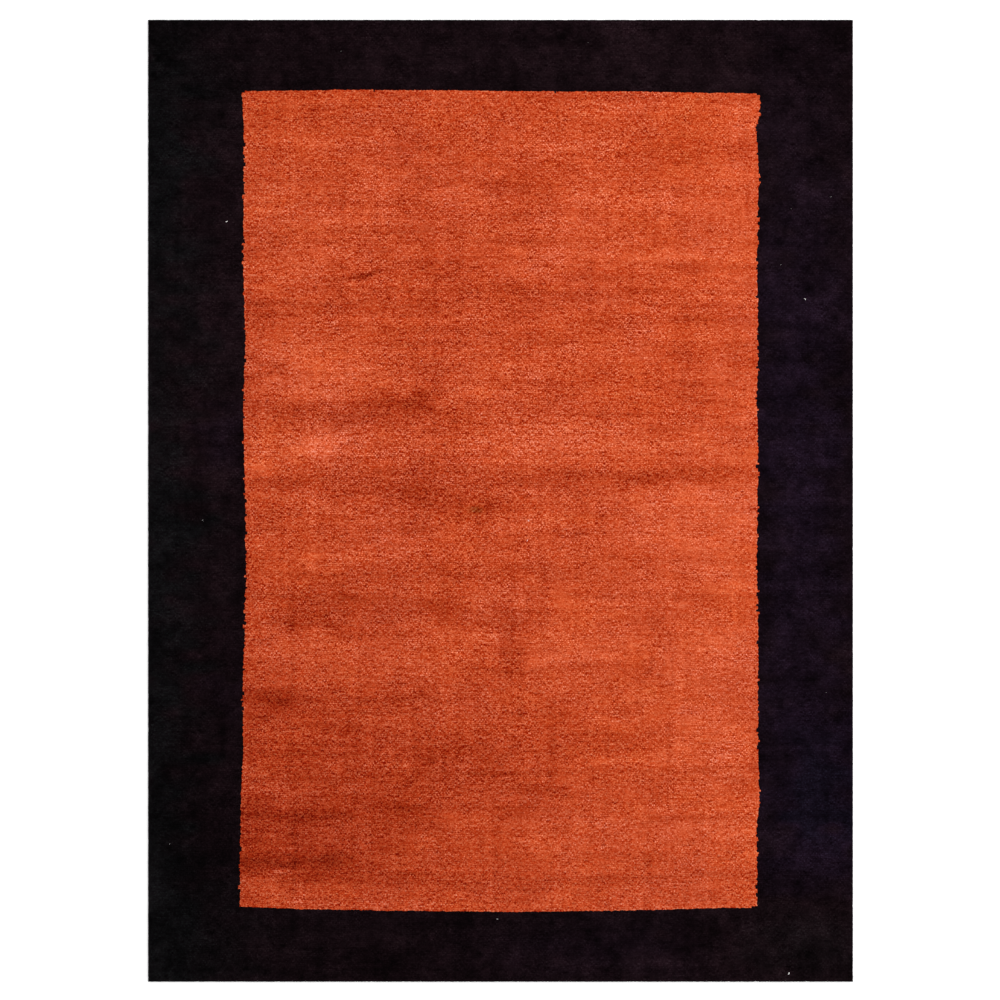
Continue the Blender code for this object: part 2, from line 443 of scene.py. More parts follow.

# %% [markdown]
# ## The tone of every knot
#
# Hand-dyed wool changes from one batch to the next, and the weaver uses it row by row, so the field
# has long soft streaks across it. Later, feet and the broom press the pile one way or another, and
# a pressed patch looks darker or lighter. Both are tabled below: where a patch lies, its
# half width and half height, how much it lightens or darkens the wool, and how far it is turned.

# %% Streaks and pressed patches of the field
Patch = namedtuple("Patch", "x y wide high tone turn", defaults=(0,))
# Dye streaks and pressed patches together. A pressed patch is painted light or painted shade: laid
# pile looks lighter or darker as its fibres face the light.
FIELD_STREAKS_AND_PAINTED_SHADE = (
    # The dark foot of the field on the left, with its three darkest streaks
    Patch(x=-0.46, y=-0.58, wide=0.36, high=0.11, tone=-0.20),
    Patch(x=-0.32, y=-0.482, wide=0.44, high=0.030, tone=-0.22),
    Patch(x=-0.54, y=-0.80, wide=0.40, high=0.17, tone=-0.38),
    Patch(x=-0.12, y=-0.66, wide=0.24, high=0.16, tone=-0.20),
    Patch(x=-0.55, y=-0.50, wide=0.09, high=0.024, tone=-0.30),
    Patch(x=-0.44, y=-0.755, wide=0.09, high=0.020, tone=-0.34, turn=2),
    Patch(x=-0.60, y=-0.745, wide=0.06, high=0.030, tone=-0.24),
    Patch(x=-0.49, y=-0.885, wide=0.20, high=0.026, tone=-0.46),
    Patch(x=-0.25, y=-0.730, wide=0.06, high=0.050, tone=-0.20),
    Patch(x=-0.12, y=-0.590, wide=0.05, high=0.030, tone=-0.22, turn=5),
    # Dark streaks and patches further up and to the right
    Patch(x=-0.40, y=-0.255, wide=0.24, high=0.070, tone=-0.16),
    Patch(x=-0.47, y=-0.285, wide=0.13, high=0.014, tone=-0.24),
    Patch(x=-0.43, y=-0.350, wide=0.05, high=0.050, tone=-0.10),
    Patch(x=-0.17, y=0.032, wide=0.18, high=0.052, tone=-0.36, turn=-4),
    Patch(x=-0.10, y=-0.010, wide=0.11, high=0.022, tone=-0.16),
    Patch(x=-0.12, y=0.075, wide=0.14, high=0.024, tone=-0.16),
    Patch(x=0.36, y=0.056, wide=0.34, high=0.022, tone=-0.30),
    Patch(x=-0.54, y=0.040, wide=0.12, high=0.020, tone=-0.22),
    Patch(x=-0.58, y=-0.030, wide=0.07, high=0.050, tone=-0.16),
    Patch(x=-0.45, y=0.218, wide=0.24, high=0.024, tone=-0.30),
    Patch(x=-0.18, y=0.230, wide=0.07, high=0.034, tone=-0.36, turn=-12),
    Patch(x=-0.50, y=0.465, wide=0.22, high=0.026, tone=-0.34),
    Patch(x=-0.59, y=0.440, wide=0.07, high=0.040, tone=-0.16),
    Patch(x=-0.60, y=0.320, wide=0.05, high=0.050, tone=-0.26),
    Patch(x=-0.10, y=0.495, wide=0.26, high=0.050, tone=-0.14),
    Patch(x=-0.315, y=0.549, wide=0.060, high=0.009, tone=-0.56, turn=12),
    Patch(x=-0.35, y=0.536, wide=0.100, high=0.009, tone=-0.50, turn=15),
    Patch(x=-0.59, y=0.630, wide=0.08, high=0.022, tone=-0.22),
    Patch(x=0.16, y=0.500, wide=0.22, high=0.030, tone=-0.12),
    Patch(x=0.30, y=0.870, wide=0.15, high=0.080, tone=-0.08),
    Patch(x=0.42, y=0.215, wide=0.16, high=0.050, tone=-0.12),
    Patch(x=0.42, y=0.470, wide=0.26, high=0.040, tone=-0.10),
    Patch(x=-0.21, y=0.780, wide=0.03, high=0.220, tone=-0.14),
    Patch(x=-0.20, y=0.860, wide=0.13, high=0.034, tone=-0.13),
    Patch(x=0.05, y=0.740, wide=0.05, high=0.120, tone=-0.14),
    Patch(x=0.12, y=0.682, wide=0.14, high=0.018, tone=0.12),
    Patch(x=-0.15, y=0.300, wide=0.02, high=0.300, tone=-0.08),
    Patch(x=0.18, y=-0.020, wide=0.03, high=0.120, tone=-0.18),
    Patch(x=-0.14, y=-0.180, wide=0.04, high=0.120, tone=-0.16),
    Patch(x=-0.14, y=-0.280, wide=0.13, high=0.028, tone=-0.16),
    Patch(x=0.01, y=-0.340, wide=0.06, high=0.090, tone=-0.20),
    Patch(x=0.03, y=-0.580, wide=0.03, high=0.170, tone=-0.22, turn=-8),
    Patch(x=0.22, y=-0.590, wide=0.12, high=0.030, tone=-0.22),
    Patch(x=0.10, y=-0.200, wide=0.03, high=0.110, tone=-0.12),
    Patch(x=0.36, y=-0.370, wide=0.016, high=0.060, tone=-0.24, turn=-12),
    Patch(x=0.09, y=-0.700, wide=0.08, high=0.020, tone=-0.16),
    Patch(x=0.10, y=-0.920, wide=0.36, high=0.030, tone=-0.20),
    Patch(x=0.18, y=-0.780, wide=0.04, high=0.070, tone=-0.16),
    # Light streaks and patches
    Patch(x=-0.50, y=0.620, wide=0.30, high=0.380, tone=0.12),
    Patch(x=-0.46, y=0.866, wide=0.21, high=0.014, tone=0.18),
    Patch(x=-0.36, y=0.682, wide=0.08, high=0.024, tone=0.12),
    Patch(x=-0.10, y=0.754, wide=0.09, high=0.030, tone=0.26),
    Patch(x=0.39, y=0.588, wide=0.11, high=0.018, tone=0.24),
    Patch(x=0.12, y=0.590, wide=0.18, high=0.022, tone=0.16),
    Patch(x=-0.42, y=0.320, wide=0.18, high=0.080, tone=0.22),
    Patch(x=-0.08, y=0.270, wide=0.06, high=0.040, tone=0.16),
    Patch(x=0.10, y=0.128, wide=0.60, high=0.040, tone=0.18),
    Patch(x=-0.60, y=0.090, wide=0.08, high=0.024, tone=0.34),
    Patch(x=-0.42, y=0.120, wide=0.12, high=0.034, tone=0.34),
    Patch(x=-0.48, y=0.170, wide=0.20, high=0.016, tone=0.14),
    Patch(x=0.60, y=0.200, wide=0.07, high=0.036, tone=0.30),
    Patch(x=-0.43, y=-0.150, wide=0.06, high=0.030, tone=0.30),
    Patch(x=-0.28, y=-0.120, wide=0.09, high=0.030, tone=0.12),
    Patch(x=0.18, y=-0.355, wide=0.09, high=0.036, tone=0.24),
    Patch(x=0.50, y=-0.360, wide=0.18, high=0.050, tone=0.14),
    Patch(x=-0.42, y=-0.360, wide=0.16, high=0.040, tone=0.12),
    Patch(x=-0.16, y=-0.345, wide=0.09, high=0.050, tone=0.16),
    Patch(x=0.48, y=-0.060, wide=0.20, high=0.080, tone=0.14),
    Patch(x=0.57, y=-0.210, wide=0.09, high=0.040, tone=0.14),
    Patch(x=0.56, y=-0.815, wide=0.06, high=0.018, tone=0.20),
    Patch(x=-0.08, y=-0.770, wide=0.07, high=0.060, tone=0.12),
    Patch(x=0.13, y=-0.810, wide=0.08, high=0.040, tone=0.10),
    Patch(x=0.52, y=-0.600, wide=0.14, high=0.240, tone=0.10),
    Patch(x=-0.52, y=0.600, wide=0.13, high=0.110, tone=0.12),
    Patch(x=-0.52, y=0.300, wide=0.12, high=0.260, tone=0.07),
    Patch(x=0.58, y=0.600, wide=0.14, high=0.110, tone=0.08),
    Patch(x=0.54, y=-0.180, wide=0.18, high=0.220, tone=0.06),
    Patch(x=0.20, y=0.620, wide=0.26, high=0.100, tone=0.11),
    Patch(x=-0.54, y=0.000, wide=0.11, high=0.220, tone=0.13),
    Patch(x=0.46, y=-0.020, wide=0.18, high=0.180, tone=0.09),
    Patch(x=-0.52, y=-0.360, wide=0.10, high=0.080, tone=0.08),
    Patch(x=-0.52, y=-0.930, wide=0.11, high=0.050, tone=0.09),
)
print(len(FIELD_STREAKS_AND_PAINTED_SHADE), "streaks and patches in the field")

# %% [markdown]
# Dye also shifts the hue. The rust leans to orange where a cast is below zero and to rose where it
# is above, and one small patch is a brown stain near the middle. Where the pile is loose, its grain
# is stronger. At the foot and on the right it lies closed.

# %% Casts and loose patches of the field
FIELD_CASTS = (
    Patch(x=-0.056, y=-0.021, wide=0.024, high=0.012, tone=-1.00),
    Patch(x=0.34, y=0.80, wide=0.36, high=0.30, tone=-0.24),
    Patch(x=-0.40, y=0.96, wide=0.40, high=0.12, tone=-0.18),
    Patch(x=0.10, y=0.40, wide=0.40, high=0.24, tone=-0.08),
    Patch(x=-0.50, y=-0.88, wide=0.26, high=0.20, tone=0.26),
    Patch(x=0.58, y=-0.55, wide=0.16, high=0.30, tone=0.16),
    Patch(x=-0.56, y=0.28, wide=0.10, high=0.16, tone=0.14),
)
LOOSE_PATCHES = (
    Patch(x=-0.18, y=0.12, wide=0.44, high=0.34, tone=0.14),
    Patch(x=0.00, y=0.40, wide=0.40, high=0.30, tone=0.06),
    Patch(x=0.60, y=0.45, wide=0.16, high=0.60, tone=-0.18),
    Patch(x=0.40, y=-0.40, wide=0.40, high=0.20, tone=-0.14),
    Patch(x=0.15, y=-0.90, wide=0.60, high=0.24, tone=-0.16),
)
print(len(FIELD_CASTS), "casts and", len(LOOSE_PATCHES), "patches that are loose or closed")

# %% [markdown]
# The border is darker along its left edge and its foot and a little lighter on the right. Its casts
# go below zero towards a neutral grey, and above zero to violet and then to navy.

# %% Patches and casts of the border
BORDER_PATCHES = (
    Patch(x=-0.76, y=-0.80, wide=0.22, high=0.60, tone=-0.34),
    Patch(x=-0.80, y=0.20, wide=0.10, high=0.90, tone=-0.14),
    Patch(x=-0.20, y=-1.05, wide=0.60, high=0.12, tone=-0.12),
    Patch(x=-0.68, y=0.64, wide=0.12, high=0.30, tone=0.14),
    Patch(x=0.62, y=1.06, wide=0.26, high=0.16, tone=0.30),
    Patch(x=0.72, y=0.30, wide=0.20, high=0.60, tone=0.14),
    Patch(x=0.80, y=-0.95, wide=0.14, high=0.24, tone=-0.08),
    Patch(x=-0.82, y=1.10, wide=0.16, high=0.16, tone=-0.44),
    Patch(x=-0.80, y=0.18, wide=0.10, high=0.16, tone=0.28),
    Patch(x=-0.68, y=0.34, wide=0.08, high=0.30, tone=0.16),
    Patch(x=-0.68, y=-0.45, wide=0.08, high=0.16, tone=0.16),
    Patch(x=0.80, y=1.08, wide=0.18, high=0.14, tone=-0.40),
    Patch(x=0.82, y=0.16, wide=0.07, high=0.70, tone=-0.20),
    Patch(x=0.69, y=-0.45, wide=0.08, high=0.16, tone=0.16),
    Patch(x=0.28, y=1.08, wide=0.22, high=0.12, tone=0.26),
    Patch(x=0.22, y=-1.04, wide=0.16, high=0.05, tone=-0.20),
    Patch(x=0.30, y=-1.13, wide=0.26, high=0.05, tone=0.26),
    Patch(x=-0.38, y=-1.13, wide=0.26, high=0.05, tone=-0.20),
)
BORDER_CASTS = (
    Patch(x=-0.84, y=-0.30, wide=0.12, high=1.20, tone=-1.00),
    Patch(x=-0.84, y=0.90, wide=0.12, high=0.50, tone=-0.60),
    Patch(x=-0.74, y=-1.10, wide=0.22, high=0.20, tone=-0.60),
    Patch(x=0.72, y=0.10, wide=0.14, high=0.90, tone=0.66),
    Patch(x=0.70, y=-0.80, wide=0.16, high=0.40, tone=0.34),
    Patch(x=0.25, y=-1.08, wide=0.30, high=0.08, tone=0.20),
    Patch(x=-0.70, y=0.15, wide=0.10, high=0.10, tone=0.34),
    Patch(x=-0.69, y=-0.45, wide=0.08, high=0.14, tone=0.20),
    Patch(x=-0.72, y=1.04, wide=0.16, high=0.14, tone=-0.36),
    Patch(x=-0.82, y=-0.90, wide=0.10, high=0.30, tone=-0.24),
    Patch(x=0.72, y=-1.06, wide=0.16, high=0.12, tone=-0.70),
    Patch(x=-0.82, y=0.76, wide=0.08, high=0.20, tone=-0.30),
    Patch(x=-0.82, y=-0.12, wide=0.08, high=0.14, tone=-0.30),
    Patch(x=0.80, y=-0.72, wide=0.12, high=0.22, tone=0.74),
)
print(len(BORDER_PATCHES), "patches and", len(BORDER_CASTS), "casts in the border")

# %% [markdown]
# A patch fades from its middle outwards. Its rim is roughened with clouds, or it would look like a
# smooth airbrushed spot. The field gets painted light that makes it a little brighter towards the
# right, where the pile leans towards the light.

# %% Read the tables at every knot
ROUGH_RIM_ACROSS = 0.030
ROUGH_RIM_ALONG = 0.008
PATCH_FALL = 1.4


def patch_tone(patches, x, y):
    """The sum of one table of patches at each place."""
    total = np.zeros_like(x)
    for patch in patches:
        turn = math.radians(patch.turn)
        along = (x - patch.x) * math.cos(turn) + (y - patch.y) * math.sin(turn)
        across = (y - patch.y) * math.cos(turn) - (x - patch.x) * math.sin(turn)
        distance = np.sqrt((along / patch.wide) ** 2 + (across / patch.high) ** 2)
        total += patch.tone * np.exp(-(distance ** 2) * PATCH_FALL)
    return total


knot_x = np.broadcast_to(((column_of + 0.5) * COLUMN_PITCH - WIDTH / 2), (COLUMNS, ROWS))
knot_y = np.broadcast_to(((row_of + 0.5) * ROW_PITCH - LENGTH / 2), (COLUMNS, ROWS))
rough_x = knot_x + ROUGH_RIM_ACROSS * clouds(COLUMNS, ROWS, wide=14, high=6)
rough_y = knot_y + ROUGH_RIM_ALONG * clouds(COLUMNS, ROWS, wide=18, high=5)
print(f"Rims stray by up to {np.abs(rough_x - knot_x).max():.3f} m sideways")

# %% [markdown]
# Each knot gets three numbers: its dye, or how light its wool is, which also carries painted light
# and shade, its cast, or which way its hue leans, and its looseness, or how strong its grain is.
# Chance adds clouds, streaks along the rows, painted light and shade that sets each row against the
# one before it, faint lines along the warps and a little for each knot.

# %% Dye, cast and looseness of each knot
# Painted light: the field grows lighter towards the right
RIGHTWARD_PAINTED_LIGHT = 0.11
CLOUD_TONE = 0.038
STREAK_TONE = 0.050
# Painted light and shade: a row that stands up is lighter, and the one under it darker
ROW_PAINTED_LIGHT_AND_SHADE = 0.050
WARP_TONE = 0.035
KNOT_TONE = 0.09
unevenness = (
    CLOUD_TONE * clouds(COLUMNS, ROWS, wide=30, high=9)
    + CLOUD_TONE * clouds(COLUMNS, ROWS, wide=12, high=5)
    + STREAK_TONE * clouds(COLUMNS, ROWS, wide=60, high=2)
    + ROW_PAINTED_LIGHT_AND_SHADE * against_next(clouds(COLUMNS, ROWS + 1, wide=8, high=1))
    + WARP_TONE * clouds(COLUMNS, ROWS, wide=2, high=40)
    + KNOT_TONE * dice.standard_normal((COLUMNS, ROWS))
)

BORDER_MOTTLE = 0.13
mottle = (
    clouds(COLUMNS, ROWS, wide=16, high=12)
    + clouds(COLUMNS, ROWS, wide=6, high=5)
    + clouds(COLUMNS, ROWS, wide=3, high=2)
)
# Dye streaks, with the painted light and shade of pressed patches and of the brighter right side
field_dye_and_painted_light = patch_tone(FIELD_STREAKS_AND_PAINTED_SHADE, rough_x, rough_y) + RIGHTWARD_PAINTED_LIGHT * knot_x / (WIDTH / 2)
border_dye = patch_tone(BORDER_PATCHES, rough_x, rough_y) + BORDER_MOTTLE * mottle
dye = np.where(is_rust, field_dye_and_painted_light, border_dye) + unevenness

CAST_DRIFT = 0.10
drift = CAST_DRIFT * (clouds(COLUMNS, ROWS, wide=40, high=24) + clouds(COLUMNS, ROWS, wide=11, high=5))
field_cast = patch_tone(FIELD_CASTS, knot_x, knot_y) + drift
cast = np.where(is_rust, field_cast, patch_tone(BORDER_CASTS, rough_x, rough_y))

LOOSENESS = 0.12
DARK_IS_LOOSE = 0.80
field_looseness = patch_tone(LOOSE_PATCHES, rough_x, rough_y) - DARK_IS_LOOSE * field_dye_and_painted_light
looseness = 1 + LOOSENESS * clouds(COLUMNS, ROWS, wide=9, high=7)
looseness += np.where(is_rust, field_looseness, 0)
print(f"Dyes run from {dye.min():.2f} to {dye.max():.2f}")
print(f"Casts run from {cast.min():.2f} to {cast.max():.2f}")

# %% [markdown]
# ## One piece of pile
#
# A grid with one quad a knot is the lattice. Faces that belong to the other colour are deleted, and
# `poke` puts a point in the middle of each quad that is left: the tip of the tuft. Along the rug's
# outline the open edges are cut in half and extruded twice, which gives the side of the pile. All
# of this happens flat, in knot units, so the sheet can't fold over itself and its normals are easy
# to check.

# %% Build pile from the lattice
def on_outline(vert):
    """True where a lattice point lies on the rug's outer edge."""
    return vert.co.x in (0, COLUMNS) or vert.co.y in (0, ROWS)


def carry_over_the_edge(bm):
    """Extrudes the rug's outline twice, one knot unit further out each time."""
    rim = [edge for edge in bm.edges if edge.is_boundary and all(map(on_outline, edge.verts))]
    bmesh.ops.bisect_edges(bm, edges=rim, cuts=1)
    rim = [edge for edge in bm.edges if edge.is_boundary and all(map(on_outline, edge.verts))]
    for _ in range(SIDE_STEPS):
        grown = bmesh.ops.extrude_edge_only(bm, edges=rim)["geom"]
        rim = [item for item in grown if isinstance(item, bmesh.types.BMEdge)]
        for vert in {vert for edge in rim for vert in edge.verts}:
            if vert.co.x <= 0:
                vert.co.x -= 1
            if vert.co.x >= COLUMNS:
                vert.co.x += 1
            if vert.co.y <= 0:
                vert.co.y -= 1
            if vert.co.y >= ROWS:
                vert.co.y += 1


def flat_lattice(columns, rows, wants_rust):
    """The knots of one colour in a block of the lattice, as a flat mesh in knot units."""
    wide = columns[1] - columns[0]
    tall = rows[1] - rows[0]
    middle = Matrix.Translation((sum(columns) / 2, sum(rows) / 2, 0))
    bm = bmesh.new()
    bmesh.ops.create_grid(
        bm,
        x_segments=wide,
        y_segments=tall,
        size=0.5,
        matrix=middle @ Matrix.Diagonal((wide, tall, 1, 1)),
    )
    for vert in bm.verts:
        vert.co.x = round(vert.co.x)
        vert.co.y = round(vert.co.y)
    others = []
    for face in bm.faces:
        spot = face.calc_center_median()
        if is_rust[int(spot.x), int(spot.y)] != wants_rust:
            others.append(face)
    bmesh.ops.delete(bm, geom=others, context="FACES")
    bmesh.ops.poke(bm, faces=bm.faces[:])
    carry_over_the_edge(bm)
    turned = [face for face in bm.faces if face.normal.z < 0]
    bmesh.ops.reverse_faces(bm, faces=turned)
    return bm


corner_block = flat_lattice((0, 2), (0, 2), False)
print(f"The four knots at a corner have {len(corner_block.faces)} faces")
corner_block.free()

# %% [markdown]
# The three numbers of each knot are stored on its points for the material to read. A point between
# knots gets their mean, so one tuft passes softly into the next. The piece also gets a map, so that
# its colours can be baked to a picture. The map lays the side of the pile out flat.

# %% Numbers and a map for the material
QUARTER = 0.25
SIDE_UNROLL = 0.0026


def where_they_meet(numbers, u, v):
    """The mean over the knots that meet at each point. The tip of a tuft lies within one knot."""
    total = np.zeros(len(u))
    for aside in (-QUARTER, QUARTER):
        for ahead in (-QUARTER, QUARTER):
            column = np.clip(u + aside, 0, COLUMNS - 1).astype(int)
            row = np.clip(v + ahead, 0, ROWS - 1).astype(int)
            total += numbers[column, row] * QUARTER
    return total


def give_numbers(mesh, name, numbers):
    """Stores one number for each point, for a material to read by name."""
    layer = mesh.attributes.new(name, "FLOAT", "POINT")
    layer.data.foreach_set("value", np.ascontiguousarray(numbers, dtype=np.float32))


def unrolled(places, count, pitch):
    """Distance along the cloth, with the side of the pile laid out flat."""
    past_end = np.clip(-places, 0, None) + np.clip(places - count, 0, None)
    outwards = np.where(places < 0, -1, 1)
    return np.clip(places, 0, count) * pitch + outwards * past_end * SIDE_UNROLL


def give_map(mesh, u, v):
    """A map that fills its square, with the side of the pile laid out flat round the rest."""
    across = unrolled(u, COLUMNS, COLUMN_PITCH)
    along = unrolled(v, ROWS, ROW_PITCH)
    across = (across - across.min()) / (across.max() - across.min())
    along = (along - along.min()) / (along.max() - along.min())
    corners = np.empty(len(mesh.loops), dtype=np.int32)
    mesh.loops.foreach_get("vertex_index", corners)
    layer = mesh.uv_layers.new(name="OFBake")
    layer.data.foreach_set("uv", np.stack([across[corners], along[corners]], axis=1).ravel())


print(f"The map reaches {SIDE_STEPS * SIDE_UNROLL / MILLIMETRE:.1f} mm past each side")

# %% One block of pile in place
def mesh_from(bm, name):
    """Turns a bmesh into a mesh and lets go of the bmesh."""
    mesh = bpy.data.meshes.new(name)
    bm.to_mesh(mesh)
    bm.free()
    return mesh


def places_of(mesh):
    """The x, y and z of a mesh's points, as three arrays."""
    places = np.empty(len(mesh.vertices) * 3, dtype=np.float32)
    mesh.vertices.foreach_get("co", places)
    return places[0::3], places[1::3], places[2::3]


def put_at(mesh, x, y, z):
    """Moves a mesh's points to three arrays of places and smooths its faces."""
    mesh.vertices.foreach_set("co", np.stack([x, y, z], axis=1).astype(np.float32).ravel())
    mesh.update()
    mesh.shade_smooth()


def object_with(mesh):
    """An object in the scene for a mesh, under the mesh's name."""
    item = bpy.data.objects.new(mesh.name, mesh)
    bpy.context.scene.collection.objects.link(item)
    return item


def pile(name, columns, rows, wants_rust, material):
    """One piece of pile: a block of knots of one colour, in its place on the rug."""
    mesh = mesh_from(flat_lattice(columns, rows, wants_rust), name)
    u, v, _ = places_of(mesh)
    x, y, z, painted_shade_by_tip = lattice_to_metres(u, v)
    give_map(mesh, u, v)
    give_numbers(mesh, "tip", painted_shade_by_tip)
    give_numbers(mesh, "dye", where_they_meet(dye, u, v))
    give_numbers(mesh, "cast", where_they_meet(cast, u, v))
    give_numbers(mesh, "looseness", where_they_meet(looseness, u, v))
    put_at(mesh, x, y, z)
    mesh.materials.append(material)

    piece = object_with(mesh)
    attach(piece, "root")
    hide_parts("rug")
    print(f"{name}: {len(mesh.polygons)} faces")
    return piece


# %% [markdown]
# ## Writing materials as sums
#
# A material is a recipe of nodes. To write it as ordinary arithmetic, one small class wraps a socket
# and turns `+`, `-` and `*` into Math nodes. Every other node comes from one method, which sets the
# node up first and then fills or links its inputs.

# %% Sockets as numbers
class Number:
    """A socket that can be added, subtracted and multiplied."""

    def __init__(self, recipe, socket):
        self.recipe = recipe
        self.socket = socket

    def through(self, operation, *numbers):
        """What one Math node makes of some numbers."""
        values = dict(enumerate(numbers))
        return self.recipe.node("ShaderNodeMath", {"operation": operation}, values, "Value")

    def __add__(self, other):
        return self.through("ADD", self, other)

    def __sub__(self, other):
        return self.through("SUBTRACT", self, other)

    def __rsub__(self, other):
        return self.through("SUBTRACT", other, self)

    def __mul__(self, other):
        return self.through("MULTIPLY", self, other)

    __radd__ = __add__
    __rmul__ = __mul__

    def smaller(self, other):
        """The smaller of two numbers."""
        return self.through("MINIMUM", self, other)

    def above(self, other):
        """1 where it is above another number, and 0 elsewhere."""
        return self.through("GREATER_THAN", self, other)

    def power(self, exponent):
        """Raised to a power."""
        return self.through("POWER", self, exponent)

    def hump(self):
        """Rises and falls once for every whole number: 0 at whole numbers, 1 halfway between."""
        return self.through("ABSOLUTE", self.through("SINE", self * math.pi))

    def whole(self):
        """The whole number at or below it."""
        return self.through("FLOOR", self)


print("Numbers know", [name for name in vars(Number) if not name.startswith("_")])

# %% Recipes of nodes
class Recipe:
    """One material and the method that adds nodes to it."""

    def __init__(self, name):
        self.material = bpy.data.materials.new(name)
        self.material.use_nodes = True
        self.tree = self.material.node_tree
        self.tree.nodes.clear()

    def node(self, kind, settings, values, output):
        """Adds a node, sets it up, fills or links its inputs and returns one of its outputs."""
        node = self.tree.nodes.new(kind)
        for name, value in settings.items():
            if name == "stops":
                self.set_stops(node.color_ramp, value)
            else:
                setattr(node, name, value)
        for name, value in values.items():
            if isinstance(value, Number):
                self.tree.links.new(value.socket, node.inputs[name])
            else:
                node.inputs[name].default_value = value
        return Number(self, node.outputs[output])

    def set_stops(self, ramp, stops):
        """Gives a ramp its stops, each one a position and a colour."""
        while len(ramp.elements) < len(stops):
            ramp.elements.new(0.5)
        for element, (position, colour) in zip(ramp.elements, stops):
            element.position = position
            element.color = (*colour, 1.0)

    def ramp(self, stops, share):
        """The colour that a ramp has at one share of its length."""
        return self.node("ShaderNodeValToRGB", {"stops": stops}, {"Fac": share}, "Color")

    def mixed(self, share, first, second):
        """The second colour where the share is 1, the first where it is 0."""
        return self.node("ShaderNodeMix", {"data_type": "RGBA"}, {0: share, 6: first, 7: second}, 2)

    def product(self, first, second):
        """Two colours or vectors, multiplied part by part."""
        values = {0: first, 1: second}
        return self.node("ShaderNodeVectorMath", {"operation": "MULTIPLY"}, values, "Vector")

    def stored(self, name, output="Fac"):
        """What the points of the mesh hold under one name."""
        return self.node("ShaderNodeAttribute", {"attribute_name": name}, {}, output)

    def noise(self, place, scale, detail):
        """Soft noise from 0 to 1."""
        values = {"Vector": place, "Scale": scale, "Detail": detail}
        return self.node("ShaderNodeTexNoise", {}, values, "Fac")

    def relief(self, height, strength, distance):
        """Faces that seem raised and sunk as the height says."""
        values = {"Strength": strength, "Distance": distance, "Height": height}
        return self.node("ShaderNodeBump", {}, values, "Normal")

    def finish(self, values):
        """Ends the recipe with its surface and returns the material."""
        surface = self.node("ShaderNodeBsdfPrincipled", {}, values, "BSDF")
        output = self.tree.nodes.new("ShaderNodeOutputMaterial")
        self.tree.links.new(surface.socket, output.inputs["Surface"])
        print(f"{self.material.name}: {len(self.tree.nodes)} nodes")
        return self.material


print("Recipes know", [name for name in vars(Recipe) if not name.startswith("_")])

# %% [markdown]
# ## The wool
#
# Wool pile is matt. Its colour is painted darker and redder down between the tufts, as painted
# shade, and lighter and paler at the cut tips, as painted highlight. Three ramps give its colour,
# and they are multiplied. The first goes from the painted shade between the tufts to the painted
# highlight of the brightest tips. The second lightens or darkens it as the knot's dye and its
# painted light and shade say, and the third, `casts`, shifts its hue as the knot's cast says. They
# are kept apart because a dark streak in the dye is of another colour than the painted shade
# between two tufts. The near-black wool is made the same way, but all the colours of its first ramp
# are within a few hundredths of black, so that it stays black from every side.

# %% The two yarns
Yarn = namedtuple("Yarn", "name flecks dyes casts contrast sheen sheen_tint gloss")
RUST = Yarn(
    name="rust_wool",
    flecks=(
        (0.00, (0.225, 0.0050, 0.0001)),
        (0.25, (0.380, 0.0248, 0.0024)),
        (0.50, (0.506, 0.0665, 0.0184)),
        (0.75, (0.592, 0.1240, 0.0510)),
        (1.00, (0.665, 0.1960, 0.1090)),
    ),
    dyes=(
        (0.00, (0.42, 0.18, 0.08)),
        (0.25, (0.69, 0.46, 0.31)),
        (0.50, (1.00, 1.00, 1.00)),
        (0.75, (1.33, 1.78, 2.20)),
        (1.00, (1.60, 2.50, 3.40)),
    ),
    casts=(
        (0.0, (0.76, 1.14, 0.98)),
        (0.3, (1.01, 0.97, 0.82)),
        (0.5, (1.00, 1.00, 1.00)),
        (0.7, (0.99, 1.03, 1.18)),
        (1.0, (0.97, 1.07, 1.35)),
    ),
    contrast=1.0,
    sheen=0.04,
    sheen_tint=(1.0, 0.42, 0.25, 1.0),
    gloss=0.03,
)
BLACK = Yarn(
    name="near_black_wool",
    flecks=(
        (0.00, (0.0038, 0.0006, 0.0016)),
        (0.50, (0.0124, 0.0050, 0.0074)),
        (1.00, (0.0290, 0.0150, 0.0200)),
    ),
    dyes=(
        (0.00, (0.30, 0.30, 0.30)),
        (0.25, (0.60, 0.60, 0.60)),
        (0.50, (1.00, 1.00, 1.00)),
        (1.00, (2.20, 2.20, 2.20)),
    ),
    casts=(
        (0.00, (0.320, 0.70, 0.540)),
        (0.50, (0.485, 0.53, 0.495)),
        (0.84, (0.540, 0.64, 0.980)),
        (1.00, (0.420, 0.66, 0.980)),
    ),
    contrast=0.68,
    sheen=0.006,
    sheen_tint=(0.55, 0.45, 0.60, 1.0),
    gloss=0.010,
)
print(f"{RUST.name} has {len(RUST.flecks)} flecks and {BLACK.name} {len(BLACK.flecks)}")

# %% [markdown]
# The first ramp is read at the grain and the painted shade. That is how near the tip the point
# lies, which paints shade into the grooves and light onto the tips, with fine noise for the fibres
# and coarser noise for locks of them, and all of it is stronger where the pile is loose. A little
# sheen stands for the fuzz that catches light at a low angle.

# %% Pile materials
MIDDLE = 0.5
FIBRE_SCALE = 1100.0
FIBRE_DETAIL = 2.0
FIBRE_TONE = 0.55
LOCK_SCALES = (260.0, 430.0, 230.0)
LOCK_TONE = 1.02
# How strongly the tip paints light on the tufts and shade into the grooves
TIP_PAINTED_SHADE = 0.40
USUAL_NEARNESS = 0.45
DYE_AND_PAINTED_LIGHT_TONE = 0.54
CAST_TONE = 0.5
WOOL_ROUGHNESS = 0.98
FIBRE_SMOOTHNESS = 0.16
FIBRE_RELIEF = 0.0006
FIBRE_RELIEF_STRENGTH = 0.6
SHEEN_ROUGHNESS = 0.6


